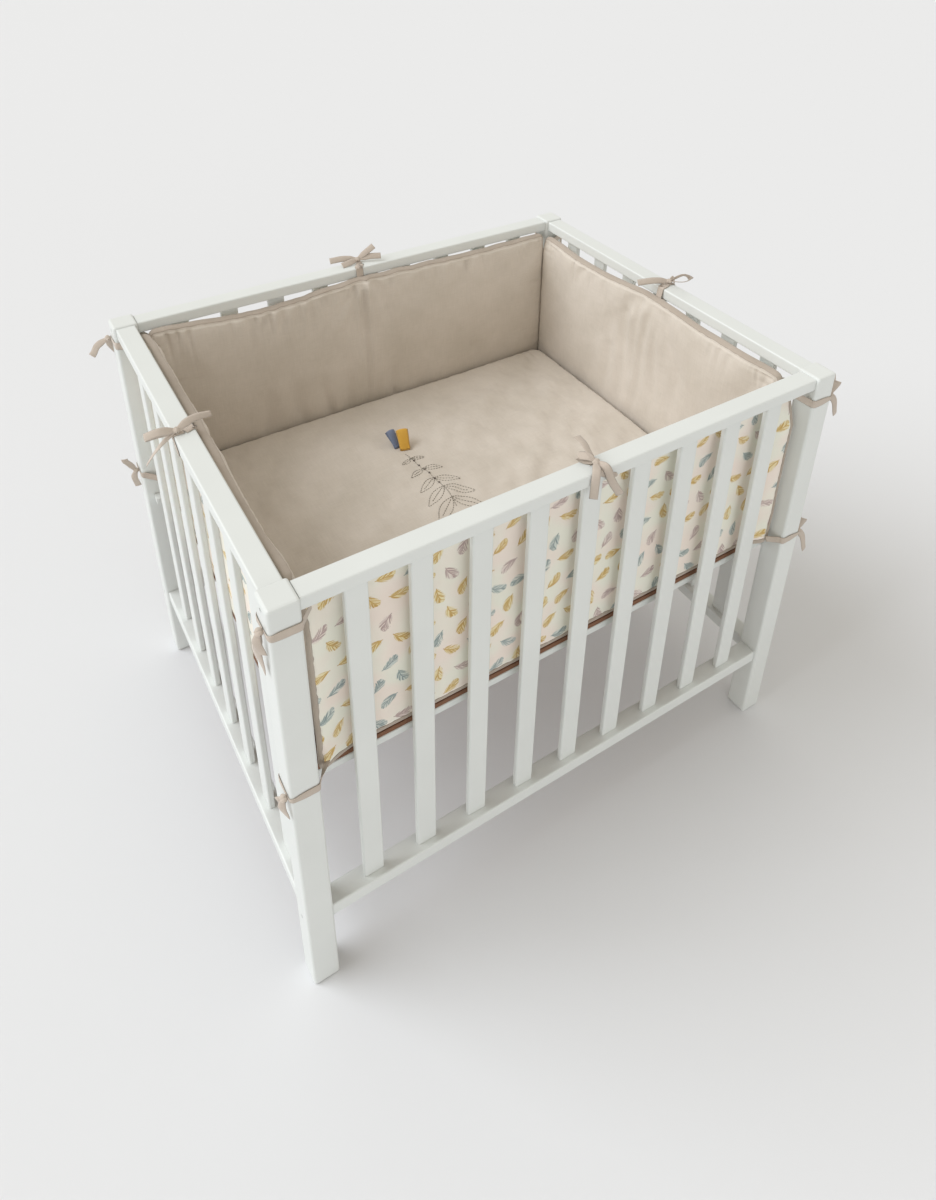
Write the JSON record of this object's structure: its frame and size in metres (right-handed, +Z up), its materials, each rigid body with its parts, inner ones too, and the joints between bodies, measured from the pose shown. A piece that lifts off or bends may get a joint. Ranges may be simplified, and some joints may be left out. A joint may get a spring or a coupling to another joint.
{
  "type": "padded playpen liner tied into a slatted playpen",
  "caption": "Padded cloth liner of bound side panels and a floor mat, tied with tape bows inside a raised white slatted wooden playpen.",
  "frame": {"origin": "on the floor, under the middle of the pen", "axes": "+X runs to the right along the front rail, +Y runs from the front rail to the back rail, +Z is up"},
  "size_m": [1.1131, 0.8606, 0.8714],
  "materials": {
    "painted_wood": "white satin paint",
    "hardboard": "raw pressed fibre",
    "printed_cloth": "woven cotton, cream with scattered feathers outside and plain beige inside",
    "plain_cloth": "plain beige woven cotton",
    "tape_cloth": "beige cotton tape",
    "blue_ribbon": "ribbon",
    "mustard_ribbon": "ribbon"
  },
  "bodies": {
    "root": {"batten_far": "painted_wood", "batten_near": "painted_wood", "binding_back": "tape_cloth", "binding_front": "tape_cloth", "binding_left": "tape_cloth", "binding_right": "tape_cloth", "bottom_rail_front": "painted_wood", "bottom_rail_left": "painted_wood", "corner_tie_far_left_foot": "tape_cloth", "corner_tie_far_left_top": "tape_cloth", "corner_tie_far_right_foot": "tape_cloth", "corner_tie_far_right_top": "tape_cloth", "corner_tie_near_left_foot": "tape_cloth", "corner_tie_near_left_top": "tape_cloth", "corner_tie_near_right_foot": "tape_cloth", "corner_tie_near_right_top": "tape_cloth", "floor_board": "hardboard", "floor_mat": "plain_cloth", "panel_back": "printed_cloth", "panel_front": "printed_cloth", "panel_left": "printed_cloth", "panel_right": "printed_cloth", "post_far_left": "painted_wood", "post_far_right": "painted_wood", "post_near_left": "painted_wood", "post_near_right": "painted_wood", "rail_tie_back": "tape_cloth", "rail_tie_front": "tape_cloth", "rail_tie_left": "tape_cloth", "rail_tie_right": "tape_cloth", "slat_front_1": "painted_wood", "slat_front_2": "painted_wood", "slat_front_3": "painted_wood", "slat_front_4": "painted_wood", "slat_front_5": "painted_wood", "slat_front_6": "painted_wood", "slat_front_7": "painted_wood", "slat_front_8": "painted_wood", "slat_front_9": "painted_wood", "slat_left_1": "painted_wood", "slat_left_2": "painted_wood", "slat_left_3": "painted_wood", "slat_left_4": "painted_wood", "slat_left_5": "painted_wood", "slat_left_6": "painted_wood", "slat_left_7": "painted_wood", "slats_and_bottom_rail_back": "painted_wood", "slats_and_bottom_rail_right": "painted_wood", "tag_blue": "blue_ribbon", "tag_mustard": "mustard_ribbon", "top_rail_back": "painted_wood", "top_rail_front": "painted_wood", "top_rail_left": "painted_wood", "top_rail_right": "painted_wood"}
  },
  "joints": []
}
